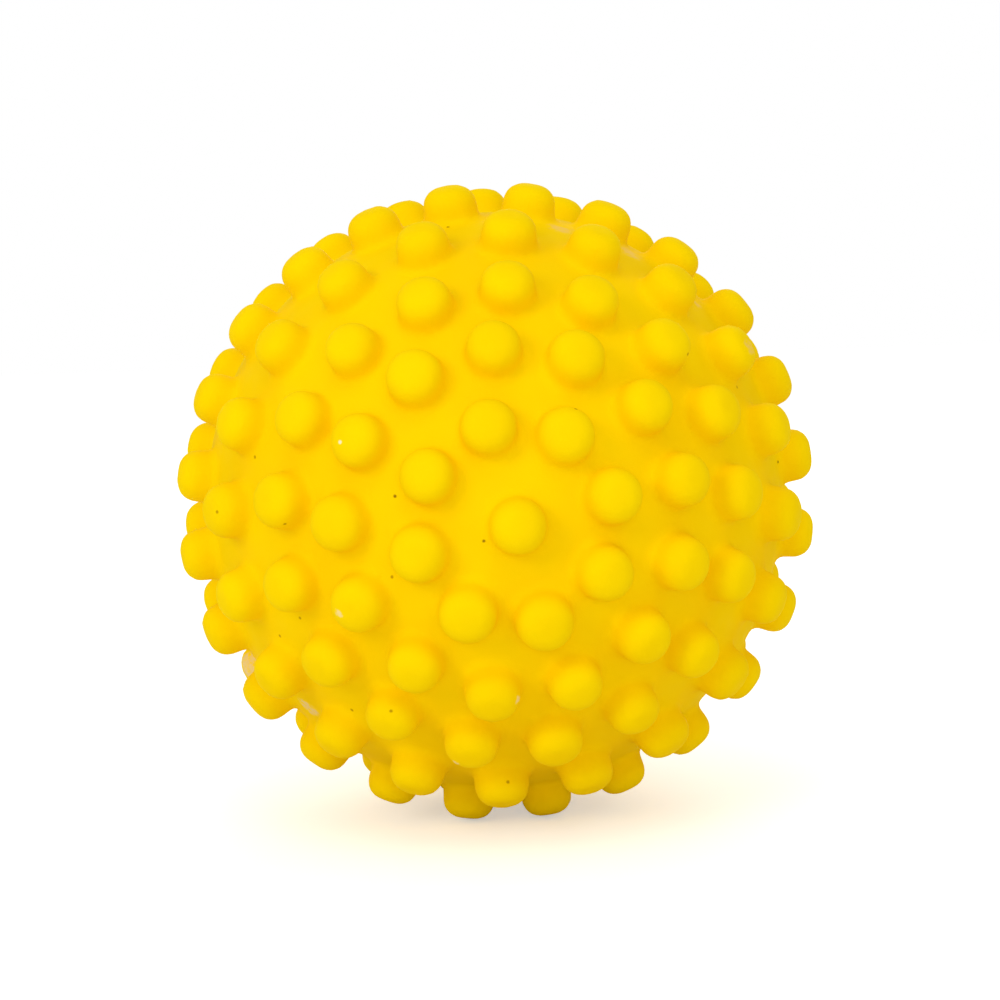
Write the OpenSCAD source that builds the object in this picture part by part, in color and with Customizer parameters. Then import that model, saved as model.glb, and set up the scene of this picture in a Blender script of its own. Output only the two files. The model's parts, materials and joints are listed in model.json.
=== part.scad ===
// Nubbed rubber squeeze ball for a baby's hands.
// Two hollow rubber halves are cemented rim to rim, and a small reed squeaker is pressed into the rear pole.
// The ball's centre is the origin, +Z is up, and the front pole with its middle nub looks along -Y.

/* [Ball] */
// Diameter of the ball without its nubs
body_d = 72; // [64:1:90]
// Thickness of the rubber wall
wall_t = 2.6; // [2.2:0.1:4]

/* [Nubs] */
// Height of a nub above the ball
nub_h = 4; // [2.5:0.1:5]
// Diameter of a nub where it leaves the ball
nub_base_d = 6.8; // [6.4:0.1:7.4]
// Diameter of a nub's top, measured to the sharp corner before rounding
nub_top_d = 6.4; // [5.8:0.1:6.4]
// Radius of the rounded edge round a nub's top
nub_edge_r = 1.6; // [0.8:0.1:2]
// Depth to which a nub's core reaches into the wall
nub_root = 1.2; // [0.8:0.1:1.6]

/* [Seam] */
// Distance across the seam between the last front ring and the last rear ring of nubs
seam_band = 14.4; // [11:0.2:18]
// Thickness of the cement film between the two rims
bond_t = 0.4; // [0.2:0.1:0.8]
// Depth by which the cement film stays below the outside
bond_recess = 0.2; // [0:0.1:0.6]

/* [Squeaker body] */
// Diameter of the flange that shows at the rear pole
flange_d = 11.6; // [10.4:0.2:12.4]
// Thickness of the flange
flange_t = 1.2; // [0.8:0.1:1.6]
// Chamfer round the flange's outer edge
flange_chamfer = 0.3; // [0.1:0.1:0.5]
// Outer diameter of the barrel
barrel_d = 8.4; // [7.8:0.1:9]
// Wall of the barrel
barrel_wall = 1; // [0.8:0.1:1.2]
// Diameter of the air hole in the middle of the flange
air_hole_d = 2.4; // [1.6:0.1:3]
// Length of rubber neck that grips the barrel
neck_l = 4; // [3:0.2:5]
// Wall of the rubber neck
neck_wall = 2.6; // [1.8:0.1:3]
// How far the barb behind the neck stands out from the barrel
barb_h = 0.7; // [0.4:0.1:1]
// Length of the barb's slope
barb_l = 1.6; // [1:0.1:2]

/* [Squeaker voice] */
// Free length of the reed's blade from its root bead
reed_l = 6.5; // [5.5:0.1:7.5]
// Width of the reed
reed_w = 3.6; // [3:0.1:4]
// Thickness of the reed's blade
reed_t = 0.3; // [0.2:0.05:0.4]
// Diameter of the bead along the reed's root
bead_d = 1; // [0.8:0.05:1.2]
// Slope of the seat under the reed, in degrees
lay_angle = 5; // [4.5:0.5:6]
// Width of the sound channel under the reed
channel_w = 2; // [1.4:0.1:2.4]
// Depth of the sound channel below the reed's middle
channel_depth = 2.2; // [1.8:0.1:2.4]
// Diameter of the air way through the cap and the wedge
air_way_d = 1.6; // [1.2:0.1:1.8]
// Thickness of the cap's outer disc
cap_t = 1; // [0.8:0.1:1.4]
// Length of the cap's spigot in the barrel
spigot_l = 1.5; // [1.2:0.1:2]

/* [Clearances] */
// Gap between pieces that are pressed or slid together
fit_gap = 0.05; // [0.03:0.01:0.08]
// Gap between the root bead and its groove
bead_gap = 0.08; // [0.05:0.01:0.1]
// Gap above and below the blade where it leaves the clamp
blade_gap = 0.15; // [0.12:0.01:0.2]
// Gap at each side of the reed in the clamp, and beyond its tip
side_gap = 0.25; // [0.2:0.05:0.4]

/* [Hidden] */
$fn = 96;
nub_fn = 32;
// How far a cutting shape runs past what it cuts
overrun = 1;

// Rings of nubs: each ring's arc from the pole as a share of the last ring's arc
ring_arc_shares = [0.223, 0.402, 0.568, 0.771, 1];
front_ring_counts = [8, 13, 17, 20, 24];
rear_ring_counts = [8, 13, 17, 20, 23];
// First nub of each ring, clockwise from the right as a share of the ring's pitch
front_turn_shares = [0.68, 0.57, 0.8, 0.14, 0.5];
rear_turn_shares = [0.68, 0.57, 0.8, 0.14, 0.25];

body_r = body_d / 2;
inner_r = body_r - wall_t;
last_ring_angle = acos(seam_band / body_d);

nub_base_r = nub_base_d / 2;
nub_top_r = nub_top_d / 2;
nub_base_z = sqrt(body_r * body_r - nub_base_r * nub_base_r);
nub_top_z = body_r + nub_h;
nub_root_z = body_r - nub_root;
nub_slope = atan((nub_base_r - nub_top_r) / (nub_top_z - nub_base_z));
// The rounded edge takes at most this share of the top's radius, so that a flat stays in the middle
edge_limit_share = 0.5;
edge_r = min(nub_edge_r, edge_limit_share * nub_top_r);
// Centre of the arc that rounds a nub's top edge
edge_mid_r = nub_top_r + edge_r * tan(nub_slope) - edge_r / cos(nub_slope);
edge_mid_z = nub_top_z - edge_r;

// Squeaker heights along the rear pole's axis, outwards from the ball's centre
recess_r = flange_d / 2 + fit_gap;
face_z = sqrt(body_r * body_r - recess_r * recess_r);
seat_z = face_z - flange_t;
neck_end_z = seat_z - neck_l;
barrel_r = barrel_d / 2;
hole_r = barrel_r + fit_gap;
neck_r = hole_r + neck_wall;
bore_r = barrel_r - barrel_wall;
insert_r = bore_r - fit_gap;
barb_top_z = neck_end_z - fit_gap;

// The voice from the air hole inwards: plenum, collar, reed, clamp, cap
plenum_l = barrel_wall;
collar_t = barrel_wall;
clamp_l = bead_d + side_gap;
collar_top_z = seat_z - plenum_l;
collar_low_z = collar_top_z - collar_t;
reed_tip_z = collar_low_z - side_gap;
bead_z = reed_tip_z - reed_l;
insert_low_z = bead_z - clamp_l;
spigot_top_z = insert_low_z - fit_gap;
barrel_low_z = spigot_top_z - spigot_l;
wedge_top_z = bead_z + bead_d;
bead_r = bead_d / 2;
groove_r = bead_r + bead_gap;
clamp_y = reed_t / 2 + blade_gap;
lay_tip_y = -clamp_y - (collar_low_z - wedge_top_z) * tan(lay_angle);
slot_w = reed_w + 2 * side_gap;
channel_low_z = wedge_top_z + bead_d;
air_way_y = (bore_r + clamp_y) / 2;

rubber_colour = [0.99, 0.84, 0.02];
bond_colour = [0.85, 0.66, 0.05];
plastic_colour = [0.93, 0.91, 0.84];
voice_colour = [0.82, 0.80, 0.74];
reed_colour = [0.78, 0.86, 0.90];

// Places a shape that is built with its pole along +Z at the front of the ball
module at_front() {
    rotate([90, 0, 0])
        children();
}

// The rear half is the front's place turned half round the upright axis
module at_rear() {
    rotate([0, 0, 180])
        at_front()
            children();
}

// Section of one hollow half from its pole down to its rim
module half_section() {
    intersection() {
        difference() {
            circle(r = body_r);
            circle(r = inner_r);
        }
        translate([0, bond_t / 2])
            square([body_r + overrun, body_r + overrun]);
    }
}

// Section of the rear half with the neck that grips the squeaker
module rear_section() {
    difference() {
        union() {
            half_section();
            translate([0, neck_end_z])
                square([neck_r, neck_l]);
        }
        translate([0, neck_end_z - overrun])
            square([hole_r, body_d]);
        translate([0, seat_z])
            square([recess_r, body_d]);
    }
}

// One nub along +Z: a slightly tapered peg with a flat top and a well rounded edge, rooted in the wall
module nub() {
    root_r = nub_top_r + (nub_top_z - nub_root_z) * tan(nub_slope);
    rotate_extrude($fn = nub_fn)
        union() {
            polygon([
                [0, nub_root_z],
                [root_r, nub_root_z],
                [edge_mid_r + edge_r * cos(nub_slope), edge_mid_z + edge_r * sin(nub_slope)],
                [edge_mid_r, nub_top_z],
                [0, nub_top_z]
            ]);
            translate([edge_mid_r, edge_mid_z])
                circle(r = edge_r);
        }
}

// Rings of nubs round the pole, evenly spaced in each ring
module nub_rings(counts, turn_shares) {
    for (k = [0 : len(counts) - 1]) {
        pitch = 360 / counts[k];
        for (i = [0 : counts[k] - 1])
            rotate([0, last_ring_angle * ring_arc_shares[k], -(turn_shares[k] + i) * pitch])
                nub();
    }
}

module front_half_shell() {
    color(rubber_colour)
        at_front() {
            rotate_extrude()
                half_section();
            nub();
            nub_rings(front_ring_counts, front_turn_shares);
        }
}

module rear_half_shell() {
    color(rubber_colour)
        at_rear() {
            rotate_extrude()
                rear_section();
            nub_rings(rear_ring_counts, rear_turn_shares);
        }
}

// Film of cured rubber cement between the two rims
module seam_bond() {
    color(bond_colour)
        at_front()
            rotate_extrude()
                translate([inner_r, -bond_t / 2])
                    square([wall_t - bond_recess, bond_t]);
}

// Flange, barrel and barb in one turned section
module squeaker_housing() {
    color(plastic_colour)
        at_rear()
            rotate_extrude()
                union() {
                    polygon([
                        [air_hole_d / 2, seat_z],
                        [flange_d / 2, seat_z],
                        [flange_d / 2, face_z - flange_chamfer],
                        [flange_d / 2 - flange_chamfer, face_z],
                        [air_hole_d / 2, face_z]
                    ]);
                    polygon([
                        [bore_r, barrel_low_z],
                        [barrel_r, barrel_low_z],
                        [barrel_r, barb_top_z - barb_l],
                        [barrel_r + barb_h, barb_top_z],
                        [barrel_r, barb_top_z],
                        [barrel_r, seat_z],
                        [bore_r, seat_z]
                    ]);
                }
}

// Groove that holds the reed's root bead
module bead_groove() {
    translate([0, 0, bead_z])
        rotate([0, 90, 0])
            cylinder(r = groove_r, h = slot_w, center = true);
}

// Half-round block under the reed, with its sloped lay, sound channel and round collar
module reed_seat() {
    color(voice_colour)
        at_rear()
            difference() {
                intersection() {
                    translate([0, 0, insert_low_z])
                        cylinder(r = insert_r, h = collar_top_z - insert_low_z);
                    rotate([90, 0, 90])
                        linear_extrude(height = barrel_d, center = true)
                            polygon([
                                [-barrel_r, insert_low_z],
                                [-clamp_y, insert_low_z],
                                [-clamp_y, wedge_top_z],
                                [lay_tip_y, collar_low_z],
                                [barrel_r, collar_low_z],
                                [barrel_r, collar_top_z],
                                [-barrel_r, collar_top_z]
                            ]);
                }
                translate([-channel_w / 2, -channel_depth, channel_low_z])
                    cube([channel_w, channel_depth - clamp_y, barrel_d]);
                bead_groove();
            }
}

// Thin springy tongue with a bead along its root
module reed() {
    color(reed_colour)
        at_rear() {
            translate([0, 0, bead_z])
                rotate([0, 90, 0])
                    cylinder(r = bead_r, h = reed_w, center = true);
            translate([-reed_w / 2, -reed_t / 2, bead_z])
                cube([reed_w, reed_t, reed_l]);
        }
}

// Upper clamp block: it lies on the seat at both sides of the reed and holds the bead down
module reed_wedge() {
    color(voice_colour)
        at_rear()
            difference() {
                intersection() {
                    translate([0, 0, insert_low_z])
                        cylinder(r = insert_r, h = wedge_top_z - insert_low_z);
                    translate([-barrel_r, -clamp_y, insert_low_z])
                        cube([barrel_d, barrel_d, wedge_top_z - insert_low_z]);
                }
                translate([-slot_w / 2, -clamp_y - overrun, insert_low_z - overrun])
                    cube([slot_w, 2 * clamp_y + overrun, barrel_d]);
                bead_groove();
                translate([0, air_way_y, insert_low_z - overrun])
                    cylinder(d = air_way_d, h = barrel_d);
            }
}

// Inner cap: its spigot closes the barrel behind the clamp, and its hole lets the ball's air in
module squeaker_cap() {
    color(plastic_colour)
        at_rear()
            difference() {
                union() {
                    translate([0, 0, barrel_low_z - cap_t])
                        cylinder(r = barrel_r, h = cap_t);
                    translate([0, 0, barrel_low_z])
                        cylinder(r = insert_r, h = spigot_l);
                }
                translate([0, air_way_y, barrel_low_z - cap_t - overrun])
                    cylinder(d = air_way_d, h = barrel_d);
            }
}

front_half_shell();
rear_half_shell();
seam_bond();
squeaker_housing();
reed_seat();
reed();
reed_wedge();
squeaker_cap();
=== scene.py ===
# %% [markdown]
# # A nubbed rubber ball
# This lesson dresses a measured frame: a hollow rubber ball of two halves, with rings of nubs moulded on
# and a small squeaker pressed into its rear pole. The frame already holds every piece at its real place
# in metres, so the lesson only has to give each surface its true form and finish.

# %% Load the frame
import bpy
import json
import math
import random
from mathutils import Matrix, Vector


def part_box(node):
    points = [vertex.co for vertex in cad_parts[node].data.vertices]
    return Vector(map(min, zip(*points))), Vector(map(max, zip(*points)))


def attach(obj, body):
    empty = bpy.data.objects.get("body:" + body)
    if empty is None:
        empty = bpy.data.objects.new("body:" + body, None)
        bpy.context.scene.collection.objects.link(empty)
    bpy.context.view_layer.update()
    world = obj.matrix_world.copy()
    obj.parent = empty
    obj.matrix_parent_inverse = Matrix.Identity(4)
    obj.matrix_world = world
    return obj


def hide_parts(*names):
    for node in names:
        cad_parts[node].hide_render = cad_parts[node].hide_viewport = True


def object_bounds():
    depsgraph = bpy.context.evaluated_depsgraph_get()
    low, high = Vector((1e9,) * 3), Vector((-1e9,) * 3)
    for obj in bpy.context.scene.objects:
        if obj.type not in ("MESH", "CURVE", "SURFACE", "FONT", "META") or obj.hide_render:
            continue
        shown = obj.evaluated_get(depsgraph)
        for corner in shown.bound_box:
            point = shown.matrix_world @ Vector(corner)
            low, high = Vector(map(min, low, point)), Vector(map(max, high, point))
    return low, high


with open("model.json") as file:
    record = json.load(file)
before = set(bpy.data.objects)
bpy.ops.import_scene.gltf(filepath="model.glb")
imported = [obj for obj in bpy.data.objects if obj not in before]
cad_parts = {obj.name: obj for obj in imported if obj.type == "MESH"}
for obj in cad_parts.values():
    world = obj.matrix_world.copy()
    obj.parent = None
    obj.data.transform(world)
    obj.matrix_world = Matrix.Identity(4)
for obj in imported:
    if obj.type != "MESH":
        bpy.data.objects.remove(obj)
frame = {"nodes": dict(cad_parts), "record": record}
cad_low, cad_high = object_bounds()
MM = 0.001
ball_body = "ball"


def sides_in_mm(low, high):
    return [round((h - l) / MM, 1) for l, h in zip(low, high)]


print("frame pieces:", ", ".join(sorted(frame["nodes"])))
print("size of the frame in mm:", sides_in_mm(cad_low, cad_high))

# %% [markdown]
# ## Sizes
# A few sizes come straight from the frame: the middle nub's flat top says how far the nubs reach, and the
# cement film says how large the bare ball is. The rings of nubs follow the same shares as the frame: each
# ring's arc is a share of the last ring's arc, and each ring starts at a share of its own pitch. The nubs
# are a little slimmer and rounder than the frame's plain pegs, as the picture shows them.

# %% Sizes of the ball and its nubs
tip_radius = Vector(frame["record"]["mounts"][0]["pos_m"]).length
bond_low, bond_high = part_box("seam_bond")
bond_recess = 0.2 * MM
body_radius = bond_high.x + bond_recess
half_bond = (bond_high.y - bond_low.y) / 2
wall = 2.6 * MM
nub_height = tip_radius - body_radius
nub_base_radius = 3.3 * MM
nub_top_radius = 3.1 * MM
nub_edge_radius = 2.1 * MM
nub_root = 1.2 * MM
seam_band = 14.4 * MM
last_ring_angle = math.acos(seam_band / (2 * body_radius))
ring_arc_shares = [0.223, 0.402, 0.568, 0.771, 1]
front_rings = ([8, 13, 17, 20, 24], [0.68, 0.57, 0.8, 0.14, 0.5])
rear_rings = ([8, 13, 17, 20, 23], [0.68, 0.57, 0.8, 0.14, 0.25])
print("bare ball radius %.2f mm, nub height %.2f mm" % (body_radius / MM, nub_height / MM))

# %% [markdown]
# ## Camera
# The camera looks at the front pole from a little above and a little to the left. It stands fairly close,
# seven ball radii away, so the nubs in the middle look a little larger than those near the outline. It is
# set first, because everything after it is judged in its frame.

# %% Camera
camera_distance = 7 * tip_radius
camera_azimuth = -3.83
camera_elevation = 4.68
camera_roll = math.radians(-1.8)
ball_width_in_frame = 0.6336
frame_shift_x = 0.0056
frame_shift_y = -0.0005
sensor_width = 36.0
nearest_seen = 0.01


def direction(azimuth, elevation):
    """The way from the ball to a camera or lamp: azimuth 0 is in front, and angles are in degrees."""
    across = math.radians(azimuth)
    up = math.radians(elevation)
    return Vector((math.sin(across) * math.cos(up), -math.cos(across) * math.cos(up), math.sin(up)))


view_from = direction(camera_azimuth, camera_elevation)
bpy.ops.object.select_all(action="DESELECT")
bpy.ops.object.camera_add(location=view_from * camera_distance)
camera = bpy.context.object
camera.name = "photo_camera"
turn = (-view_from).to_track_quat("-Z", "Y").to_matrix().to_4x4()
camera.matrix_world = Matrix.Translation(camera.location) @ turn @ Matrix.Rotation(camera_roll, 4, "Z")
camera.data.sensor_width = sensor_width
camera.data.lens = sensor_width * camera_distance * ball_width_in_frame / (2 * tip_radius)
camera.data.shift_x = frame_shift_x
camera.data.shift_y = frame_shift_y
camera.data.clip_start = nearest_seen
bpy.context.scene.camera = camera
print("lens %.1f mm at %.2f m" % (camera.data.lens, camera_distance))

# %% [markdown]
# ## One nub
# A nub is a short rubber peg, a little narrower at its top, with a well rounded edge. It could be spun from
# a profile, but a cylinder gets there in two steps: its top face is drawn in for the taper, and the edge
# round the top is bevelled. One nub is modelled and then copied to every place on the ball.

# %% Helpers for modelling
def deselect():
    if bpy.context.object and bpy.context.object.mode != "OBJECT":
        bpy.ops.object.mode_set(mode="OBJECT")
    bpy.ops.object.select_all(action="DESELECT")


def pick(obj):
    deselect()
    obj.select_set(True)
    bpy.context.view_layer.objects.active = obj


def edit_faces(obj, test):
    """Goes into edit mode with only the faces that pass the test selected."""
    pick(obj)
    bpy.ops.object.mode_set(mode="EDIT")
    bpy.ops.mesh.select_mode(type="FACE")
    bpy.ops.mesh.select_all(action="DESELECT")
    bpy.ops.object.mode_set(mode="OBJECT")
    for face in obj.data.polygons:
        face.select = test(face)
    bpy.ops.object.mode_set(mode="EDIT")


def apply_modifier(obj, name, kind, **settings):
    pick(obj)
    modifier = obj.modifiers.new(name, kind)
    for key, value in settings.items():
        setattr(modifier, key, value)
    bpy.ops.object.modifier_apply(modifier=name)


# %% Model the nub
nub_sides = 48
nub_edge_steps = 6
facing_up = 0.9


def model_nub():
    deselect()
    low = body_radius - nub_root
    depth = tip_radius - low
    slope = (nub_base_radius - nub_top_radius) / nub_height
    root_radius = nub_top_radius + depth * slope
    bpy.ops.mesh.primitive_cylinder_add(
        vertices=nub_sides, radius=root_radius, depth=depth, location=(0, 0, low + depth / 2))
    nub = bpy.context.object
    nub.name = "nub_pattern"
    bpy.ops.object.transform_apply(location=True, rotation=True, scale=True)
    edit_faces(nub, lambda face: face.normal.z > facing_up)
    draw_in = nub_top_radius / root_radius
    bpy.ops.transform.resize(value=(draw_in, draw_in, 1), center_override=(0, 0, tip_radius))
    bpy.ops.mesh.bevel(offset=nub_edge_radius, segments=nub_edge_steps, affect="EDGES")
    bpy.ops.object.mode_set(mode="OBJECT")
    return nub


nub_pattern = model_nub()
print("nub pattern: %d faces" % len(nub_pattern.data.polygons))

# %% [markdown]
# ## The two rubber halves
# On the real ball the nubs grow out of the wall with a soft root, because the rubber flows round every edge
# of the mould. A boolean union would leave a hard crease there. Joining a ball and its nubs, melting them
# into one skin with a voxel remesh and smoothing that skin gives soft roots and edges at once. The half is
# then cut flat at the seam and hollowed out, and the rear half gets its place for the squeaker.

# %% Places of the nubs
def nub_directions(rings, rear):
    counts, turn_shares = rings
    side = -1 if rear else 1
    directions = []
    for arc_share, count, turn_share in zip(ring_arc_shares, counts, turn_shares):
        polar = last_ring_angle * arc_share
        for index in range(count):
            clock = 2 * math.pi * (turn_share + index) / count
            directions.append(Vector((
                side * math.sin(polar) * math.cos(clock),
                -side * math.cos(polar),
                -math.sin(polar) * math.sin(clock))))
    return directions


front_directions = [Vector((0, -1, 0))] + nub_directions(front_rings, rear=False)
rear_directions = nub_directions(rear_rings, rear=True)
print("nubs: %d in front, %d behind" % (len(front_directions), len(rear_directions)))

# %% Copies of the nub
nub_width_spread = 0.025
nub_lean = math.radians(2.0)


def copy_nub(way, chance):
    """A nub on the ball in the given direction, a little wider or slimmer and leaning by chance."""
    copy = nub_pattern.copy()
    copy.data = nub_pattern.data.copy()
    bpy.context.collection.objects.link(copy)
    width = 1 + chance.uniform(-nub_width_spread, nub_width_spread)
    lean = Matrix.Rotation(chance.uniform(-nub_lean, nub_lean), 4, Vector((1, 0, 0)))
    twist = Matrix.Rotation(chance.uniform(0, 2 * math.pi), 4, Vector((0, 0, 1)))
    foot = Matrix.Translation((0, 0, body_radius))
    turn = Vector((0, 0, 1)).rotation_difference(way).to_matrix().to_4x4()
    widen = Matrix.Diagonal((width, width, 1, 1))
    copy.data.transform(turn @ foot @ twist @ lean @ foot.inverted() @ widen)
    return copy


# %% Model one half
skin_voxel = 0.46 * MM
soften_share = 0.5
soften_rounds = 7
past_seam = 3 * MM
ball_segments = 160


def cut_flat(half, height, way):
    """Cuts away what lies past a plane across the poles' axis, and closes the cut."""
    pick(half)
    bpy.ops.object.mode_set(mode="EDIT")
    bpy.ops.mesh.select_all(action="SELECT")
    bpy.ops.mesh.bisect(plane_co=(0, height, 0), plane_no=(0, way, 0), use_fill=True, clear_outer=True)
    bpy.ops.object.mode_set(mode="OBJECT")


def model_half(name, directions, side):
    """side is -1 for the front half, which lies at -Y, and 1 for the rear half."""
    deselect()
    bpy.ops.mesh.primitive_uv_sphere_add(
        segments=ball_segments, ring_count=ball_segments // 2, radius=body_radius)
    half = bpy.context.object
    half.name = name
    cut_flat(half, -side * past_seam, -side)
    chance = random.Random(name)
    copies = [copy_nub(way, chance) for way in directions]
    pick(half)
    for copy in copies:
        copy.select_set(True)
    bpy.ops.object.join()
    apply_modifier(half, "melt", "REMESH", mode="VOXEL", voxel_size=skin_voxel)
    apply_modifier(half, "soften", "SMOOTH", factor=soften_share, iterations=soften_rounds)
    cut_flat(half, side * half_bond, -side)
    return half


# %% Hollow out a half
inner_radius = body_radius - wall
housing_low, housing_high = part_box("squeaker_housing")
flange_radius = housing_high.x
flange_thickness = 1.2 * MM
flange_seat = housing_high.y - flange_thickness
barrel_radius = 4.2 * MM
neck_radius = 6.85 * MM
neck_length = 4 * MM
fit_gap = 0.05 * MM
hollow_segments = 96


def cutting_cylinder(name, radius, low, high):
    """A cylinder along the rear pole's axis, from low to high."""
    deselect()
    bpy.ops.mesh.primitive_cylinder_add(
        vertices=hollow_segments, radius=radius, depth=high - low,
        location=(0, (low + high) / 2, 0), rotation=(math.pi / 2, 0, 0))
    cutter = bpy.context.object
    cutter.name = name
    bpy.ops.object.transform_apply(location=True, rotation=True, scale=True)
    return cutter


def cut_away(piece, cutter):
    apply_modifier(piece, "cut", "BOOLEAN", operation="DIFFERENCE", object=cutter, solver="EXACT")
    bpy.data.objects.remove(cutter)


def hollow_out(half, has_squeaker):
    deselect()
    bpy.ops.mesh.primitive_uv_sphere_add(
        segments=hollow_segments, ring_count=hollow_segments // 2, radius=inner_radius)
    hollow = bpy.context.object
    hollow.name = "hollow"
    if has_squeaker:
        cut_away(hollow, cutting_cylinder("neck", neck_radius, flange_seat - neck_length, body_radius))
    cut_away(half, hollow)
    if has_squeaker:
        cut_away(half, cutting_cylinder("recess", flange_radius + fit_gap, flange_seat, tip_radius))
        hole_low = flange_seat - 2 * neck_length
        cut_away(half, cutting_cylinder("hole", barrel_radius + fit_gap, hole_low, body_radius))


# %% Make both halves
crease_angle = math.radians(50)


def finish_half(half):
    pick(half)
    bpy.ops.object.shade_smooth_by_angle(angle=crease_angle)
    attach(half, ball_body)
    reach = max(v.co.length for v in half.data.vertices)
    print("%s: %d faces, reach %.2f mm" % (half.name, len(half.data.polygons), reach / MM))


front_skin = model_half("front_rubber", front_directions, side=-1)
hollow_out(front_skin, has_squeaker=False)
finish_half(front_skin)
rear_skin = model_half("rear_rubber", rear_directions, side=1)
hollow_out(rear_skin, has_squeaker=True)
finish_half(rear_skin)
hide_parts("front_half_shell")
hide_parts("rear_half_shell")
bpy.data.objects.remove(nub_pattern)

# %% [markdown]
# ## Node helpers
# Every finish below is built from the same few nodes: a noise, a range that spreads it from 0 to 1, a mix of
# two colours and a bump. A small class wires them up, so that each finish reads as a short list of choices.
# All patterns read Object coordinates, which need no map and stay put from every side.

# %% Helpers for materials
def srgb(red, green, blue):
    """A colour written as on a screen, from 0 to 255, as the shader needs it."""
    def linear(value):
        value = value / 255
        return value / 12.92 if value <= 0.04045 else ((value + 0.055) / 1.055) ** 2.4
    return (linear(red), linear(green), linear(blue), 1)


class Shader:
    """A new material with its main shader and short calls to add and join nodes."""
    def __init__(self, name):
        self.material = bpy.data.materials.new(name)
        self.material.use_nodes = True
        self.tree = self.material.node_tree
        self.main = self.tree.nodes["Principled BSDF"]
        self.place = self.add("ShaderNodeTexCoord").outputs["Object"]

    def add(self, kind, **settings):
        node = self.tree.nodes.new(kind)
        for key, value in settings.items():
            setattr(node, key, value)
        return node

    def join(self, out, into):
        self.tree.links.new(out, into)

    def noise(self, scale, detail=2.0, roughness=0.5):
        node = self.add("ShaderNodeTexNoise")
        node.inputs["Scale"].default_value = scale
        node.inputs["Detail"].default_value = detail
        node.inputs["Roughness"].default_value = roughness
        self.join(self.place, node.inputs["Vector"])
        return node.outputs["Fac"]

    def spread(self, value, low, high, to_low=0.0, to_high=1.0):
        node = self.add("ShaderNodeMapRange", interpolation_type="SMOOTHSTEP")
        self.join(value, node.inputs["Value"])
        for key, number in (("From Min", low), ("From Max", high), ("To Min", to_low), ("To Max", to_high)):
            node.inputs[key].default_value = number
        return node.outputs["Result"]

    def both(self, operation, first, second):
        node = self.add("ShaderNodeMath", operation=operation)
        self.join(first, node.inputs[0])
        self.join(second, node.inputs[1])
        return node.outputs[0]

    def mix(self, share, first, second):
        node = self.add("ShaderNodeMix", data_type="RGBA")
        self.join(share, node.inputs["Factor"])
        for socket, colour in ((node.inputs["A"], first), (node.inputs["B"], second)):
            if isinstance(colour, tuple):
                socket.default_value = colour
            else:
                self.join(colour, socket)
        return node.outputs["Result"]

    def cloudy(self, scale, first, second):
        """Two close colours that change into each other in soft clouds."""
        return self.mix(self.spread(self.noise(scale), 0.35, 0.65), first, second)

    def roughness(self, scale, low, high):
        rough = self.spread(self.noise(scale, detail=3), 0.3, 0.7, low, high)
        self.join(rough, self.main.inputs["Roughness"])

    def grain(self, scale, distance, strength):
        node = self.add("ShaderNodeBump")
        node.inputs["Distance"].default_value = distance
        node.inputs["Strength"].default_value = strength
        self.join(self.noise(scale, detail=3), node.inputs["Height"])
        self.join(node.outputs["Normal"], self.main.inputs["Normal"])


# %% [markdown]
# ## Wear on the coat
# A ball that has been played with is not spotless: here and there the coat is gone and the pale rubber shows,
# mostly between nubs or at a nub's edge, and dark grains of dirt stick to it. Marks could be painted by hand,
# but here each mark on the front is given by the pixel of the picture where it is seen, and a ray from the
# camera finds its place on the rubber. The back has marks of its own, strewn by a cell pattern.

# %% Places of the marks
picture_size = 1000
bare_spot_pixels = [(309, 708), (248, 664)]
thin_spot_pixels = [(562, 229), (631, 254)]
small_thin_spot_pixels = [(697, 304), (750, 346)]
edge_chip_pixels = [(456, 763), (518, 700), (338, 614)]
dirt_pixels = [(484, 541), (395, 496), (778, 462)]
faint_dirt_pixels = [
    (576, 409), (448, 227), (255, 457), (217, 512), (285, 524), (300, 618), (280, 636),
    (352, 710), (391, 711), (688, 354), (737, 387), (508, 782), (392, 577)]
pale_grain_pixels = [(340, 442)]


def point_on_rubber(pixel):
    """The nearest rubber that the camera sees at a pixel, or None beside the ball."""
    across = pixel[0] / picture_size - 0.5 + frame_shift_x
    up = 0.5 - pixel[1] / picture_size + frame_shift_y
    film = Vector((across * sensor_width, up * sensor_width, -camera.data.lens))
    ray = (camera.matrix_world.to_3x3() @ film).normalized()
    hits = [skin.ray_cast(camera.location, ray) for skin in (front_skin, rear_skin)]
    places = [place for found, place, normal, face in hits if found]
    return min(places, key=lambda place: (place - camera.location).length, default=None)


print("first bare spot at", point_on_rubber(bare_spot_pixels[0]))

# %% Shares of the marks
def marks(look, pixels, radius, soft, waver, waver_scale):
    """A share from 0 to 1: 1 inside any of the round marks, whose outlines waver with a noise."""
    noise = look.add("ShaderNodeTexNoise")
    noise.inputs["Scale"].default_value = waver_scale
    look.join(look.place, noise.inputs["Vector"])
    shifted = look.add("ShaderNodeVectorMath", operation="MULTIPLY_ADD")
    look.join(noise.outputs["Color"], shifted.inputs[0])
    shifted.inputs[1].default_value = (waver, waver, waver)
    look.join(look.place, shifted.inputs[2])
    centre_shift = Vector((waver, waver, waver)) / 2
    share = None
    for pixel in pixels:
        place = point_on_rubber(pixel)
        if place is None:
            print("no rubber at pixel", pixel)
            continue
        gap = look.add("ShaderNodeVectorMath", operation="DISTANCE")
        look.join(shifted.outputs[0], gap.inputs[0])
        gap.inputs[1].default_value = place + centre_shift
        inside = look.spread(gap.outputs["Value"], radius - soft, radius + soft, 1.0, 0.0)
        share = inside if share is None else look.both("MAXIMUM", share, inside)
    return share


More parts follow.
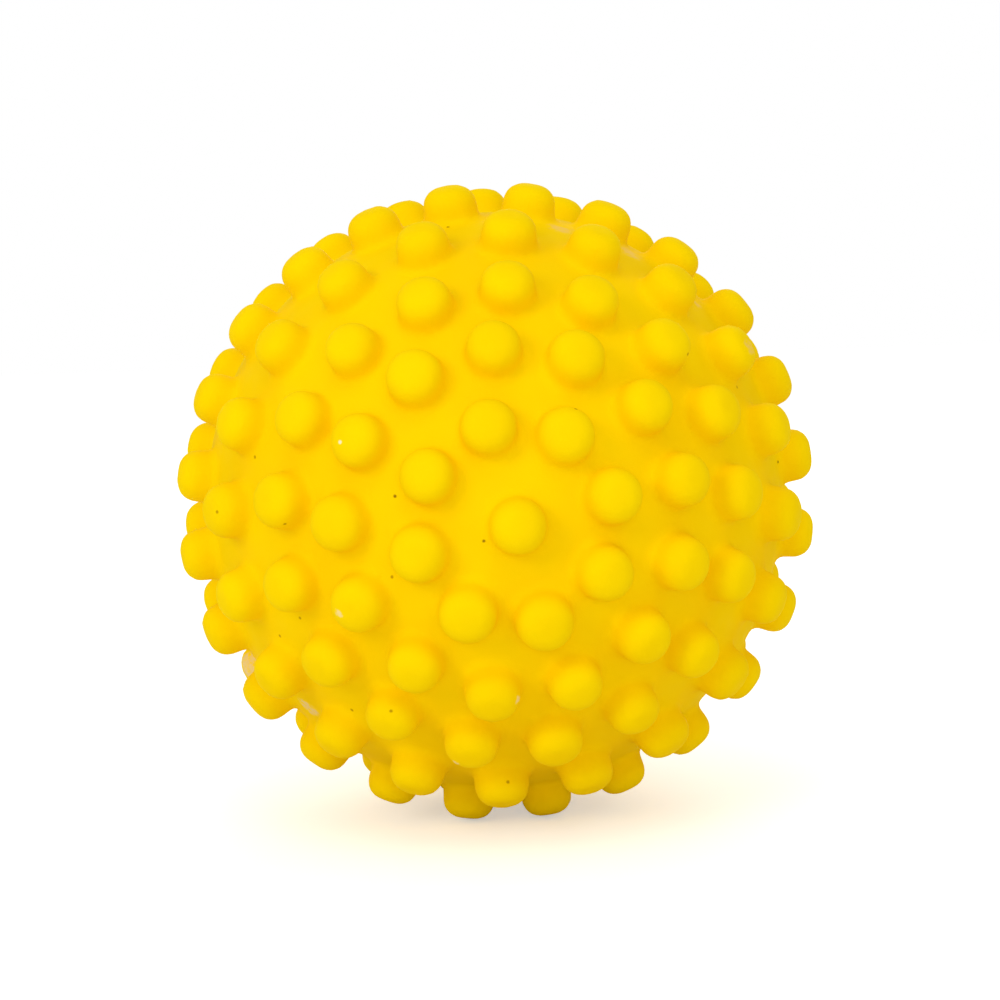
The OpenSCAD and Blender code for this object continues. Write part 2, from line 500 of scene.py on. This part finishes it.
def patchy(look, share, fleck_scale):
    """The same share with flecks of coat left standing in it."""
    left = look.spread(look.noise(fleck_scale, detail=3, roughness=0.6), 0.36, 0.56)
    return look.both("MULTIPLY", share, left)


def strewn(look, cells, radius, soft):
    """A share from 0 to 1 for marks strewn over the rear half."""
    cell = look.add("ShaderNodeTexVoronoi")
    cell.inputs["Scale"].default_value = cells
    look.join(look.place, cell.inputs["Vector"])
    gap = cell.outputs["Distance"]
    inside = look.spread(gap, (radius - soft) * cells, (radius + soft) * cells, 1.0, 0.0)
    axes = look.add("ShaderNodeSeparateXYZ")
    look.join(look.place, axes.inputs[0])
    rear = look.spread(axes.outputs["Y"], 0.0, half_bond)
    return look.both("MULTIPLY", inside, rear)


# %% Bare spots and chips
def bare_spots(look, coat):
    rubber_colour = srgb(240, 208, 136)
    thin_colour = srgb(244, 204, 84)
    chip_colour = srgb(248, 220, 138)
    spots = marks(look, bare_spot_pixels,
                  radius=1.5 * MM, soft=0.4 * MM, waver=2.6 * MM, waver_scale=600)
    thin = marks(look, thin_spot_pixels,
                 radius=1.4 * MM, soft=0.6 * MM, waver=3.0 * MM, waver_scale=500)
    small_thin = marks(look, small_thin_spot_pixels,
                       radius=0.8 * MM, soft=0.4 * MM, waver=2.0 * MM, waver_scale=700)
    chips = marks(look, edge_chip_pixels,
                  radius=0.4 * MM, soft=0.2 * MM, waver=1.4 * MM, waver_scale=1200)
    rear_spots = strewn(look, cells=55, radius=0.6 * MM, soft=0.25 * MM)
    coat = look.mix(patchy(look, spots, fleck_scale=1500), coat, rubber_colour)
    coat = look.mix(patchy(look, thin, fleck_scale=1100), coat, thin_colour)
    coat = look.mix(patchy(look, small_thin, fleck_scale=1500), coat, thin_colour)
    coat = look.mix(chips, coat, chip_colour)
    return look.mix(rear_spots, coat, rubber_colour)


# %% Grains of dirt
def specks(look, coat):
    dirt_colour = srgb(140, 102, 8)
    faint_dirt_colour = srgb(188, 146, 4)
    pale_colour = srgb(250, 238, 190)
    dirt = marks(look, dirt_pixels,
                 radius=0.17 * MM, soft=0.12 * MM, waver=0.2 * MM, waver_scale=3000)
    faint_dirt = marks(look, faint_dirt_pixels,
                       radius=0.18 * MM, soft=0.12 * MM, waver=0.2 * MM, waver_scale=3000)
    pale_grain = marks(look, pale_grain_pixels,
                       radius=0.2 * MM, soft=0.1 * MM, waver=0.15 * MM, waver_scale=3000)
    rear_dirt = strewn(look, cells=83, radius=0.2 * MM, soft=0.12 * MM)
    coat = look.mix(dirt, coat, dirt_colour)
    coat = look.mix(faint_dirt, coat, faint_dirt_colour)
    coat = look.mix(pale_grain, coat, pale_colour)
    return look.mix(rear_dirt, coat, dirt_colour)


# %% [markdown]
# ## Yellow rubber
# The ball wears a thin matt coat of warm yellow. Its colour holds painted shade: a touch darker between the
# nubs and a touch lighter on their tops, as the light falls. The colour could come from a picture wrapped
# round the ball, but the distance from the ball's centre already tells the nubs' tops from the rubber between
# them, so that one measure drives this painted shade, and slow noises vary it a little.

# %% Yellow rubber
coat_specular = 0.02


def yellow_rubber():
    look = Shader("yellow_rubber_coat")
    length = look.add("ShaderNodeVectorMath", operation="LENGTH")
    look.join(look.place, length.inputs[0])
    # Painted shade: the height share paints the rubber between the nubs a little darker and more orange than
    # the nubs' tops, standing in for the shade that falls between them.
    height = look.spread(length.outputs["Value"], body_radius, tip_radius)
    painted_shade_ground = look.cloudy(90, srgb(250, 208, 0), srgb(252, 213, 0))
    top = look.cloudy(140, srgb(250, 211, 0), srgb(252, 215, 0))
    coat = look.mix(height, painted_shade_ground, top)
    coat = bare_spots(look, coat)
    coat = specks(look, coat)
    look.join(coat, look.main.inputs["Base Color"])
    look.roughness(400, 0.7, 0.85)
    look.main.inputs["Specular IOR Level"].default_value = coat_specular
    look.grain(2500, distance=0.02 * MM, strength=0.35)
    return look.material


rubber = yellow_rubber()
for skin in (front_skin, rear_skin):
    skin.data.materials.clear()
    skin.data.materials.append(rubber)
print("yellow rubber on", front_skin.name, "and", rear_skin.name)

# %% [markdown]
# ## Seam and squeaker
# The cement film and the squeaker's pieces keep their frame shapes, which are right as they are: a plain film
# and crisp moulded plastic. Each only needs a finish. Two close colours in clouds, a roughness that varies
# and a fine grain keep a plain plastic from looking like flat paint.

# %% Finishes of the frame's own pieces
def plain_finish(name, light, dark, rough_low, rough_high, scale):
    look = Shader(name)
    look.join(look.cloudy(scale, dark, light), look.main.inputs["Base Color"])
    look.roughness(scale * 3, rough_low, rough_high)
    look.grain(scale * 6, distance=0.01 * MM, strength=0.3)
    return look.material


cement = plain_finish("rubber_cement", srgb(222, 172, 20), srgb(206, 152, 14), 0.55, 0.7, scale=300)
ivory = plain_finish("ivory_plastic", srgb(240, 234, 214), srgb(234, 226, 204), 0.3, 0.42, scale=200)
voice = plain_finish("voice_plastic", srgb(216, 211, 196), srgb(208, 202, 186), 0.45, 0.6, scale=250)
film = plain_finish("reed_film", srgb(206, 224, 232), srgb(196, 216, 226), 0.15, 0.25, scale=250)
finishes = {
    "seam_bond": cement, "squeaker_housing": ivory, "squeaker_cap": ivory,
    "reed_seat": voice, "reed_wedge": voice, "reed": film}
for node_name, finish in finishes.items():
    node = frame["nodes"][node_name]
    node.data.materials.clear()
    node.data.materials.append(finish)
print("finished:", ", ".join(finishes))

# %% [markdown]
# ## Stage and light
# The ball lies on a wide sheet of white paper under soft studio light. The strongest lamp stands at the upper
# left; weaker ones stand high up, at the right and low in front, and one behind keeps the back from going
# dull. A pale surround fills the shadows. Paper and surround could be made white by more light, but that
# would burn out the ball, so they only glow for rays that the camera sees, and the glow lights nothing.

# %% Rays that the camera sees
def seen_rays(tree):
    """1 for a ray that the camera sees straight, in a mirror or through glass, and 0 for any other."""
    rays = tree.nodes.new("ShaderNodeLightPath")
    seen = rays.outputs["Is Camera Ray"]
    for kind in ("Is Glossy Ray", "Is Transmission Ray"):
        most = tree.nodes.new("ShaderNodeMath")
        most.operation = "MAXIMUM"
        tree.links.new(seen, most.inputs[0])
        tree.links.new(rays.outputs[kind], most.inputs[1])
        seen = most.outputs[0]
    return seen


# %% Floor
floor_height = cad_low.z
floor_size = 6
paper_colour = (0.9, 0.9, 0.9, 1)
paper_roughness = 0.9
paper_glow = 0.42

deselect()
bpy.ops.mesh.primitive_plane_add(size=floor_size, location=(0, 0, floor_height))
floor = bpy.context.object
floor.name = "floor"
bpy.ops.object.transform_apply(location=True, rotation=True, scale=True)
paper = Shader("white_paper")
paper.main.inputs["Base Color"].default_value = paper_colour
paper.main.inputs["Roughness"].default_value = paper_roughness
paper.main.inputs["Specular IOR Level"].default_value = 0.0
paper.main.inputs["Emission Color"].default_value = (paper_glow, paper_glow, paper_glow, 1)
paper.join(seen_rays(paper.tree), paper.main.inputs["Emission Strength"])
floor.data.materials.append(paper.material)
print("floor at %.1f mm" % (floor_height / MM))

# %% Lamps
lamp_distance = 0.9


def soft_lamp(name, azimuth, elevation, size, watts):
    deselect()
    toward = direction(azimuth, elevation)
    bpy.ops.object.light_add(type="AREA", location=toward * lamp_distance)
    lamp = bpy.context.object
    lamp.name = name
    lamp.rotation_euler = (-toward).to_track_quat("-Z", "Y").to_euler()
    lamp.data.shape = "DISK"
    lamp.data.size = size
    lamp.data.energy = watts
    print("%s: %.2f W" % (name, watts))


soft_lamp("key_lamp", azimuth=-43, elevation=23, size=0.4, watts=1.58)
soft_lamp("high_lamp", azimuth=-10, elevation=60, size=0.4, watts=0.7)
soft_lamp("right_lamp", azimuth=20, elevation=30, size=0.4, watts=0.4)
soft_lamp("low_lamp", azimuth=0, elevation=5, size=0.4, watts=0.8)
soft_lamp("back_lamp", azimuth=168, elevation=28, size=0.6, watts=1.4)

# %% Surround
white = (1, 1, 1, 1)
surround_strength = 0.68
seen_strength = 1.0

world = bpy.data.worlds.new("pale_surround")
bpy.context.scene.world = world
world.use_nodes = True
tree = world.node_tree
surround = tree.nodes["Background"]
surround.inputs["Color"].default_value = white
surround.inputs["Strength"].default_value = surround_strength
backdrop = tree.nodes.new("ShaderNodeBackground")
backdrop.inputs["Color"].default_value = white
backdrop.inputs["Strength"].default_value = seen_strength
either = tree.nodes.new("ShaderNodeMixShader")
tree.links.new(seen_rays(tree), either.inputs["Fac"])
tree.links.new(surround.outputs[0], either.inputs[1])
tree.links.new(backdrop.outputs[0], either.inputs[2])
tree.links.new(either.outputs[0], tree.nodes["World Output"].inputs["Surface"])
bpy.context.scene.view_settings.view_transform = "Standard"
print("surround at strength", surround_strength)
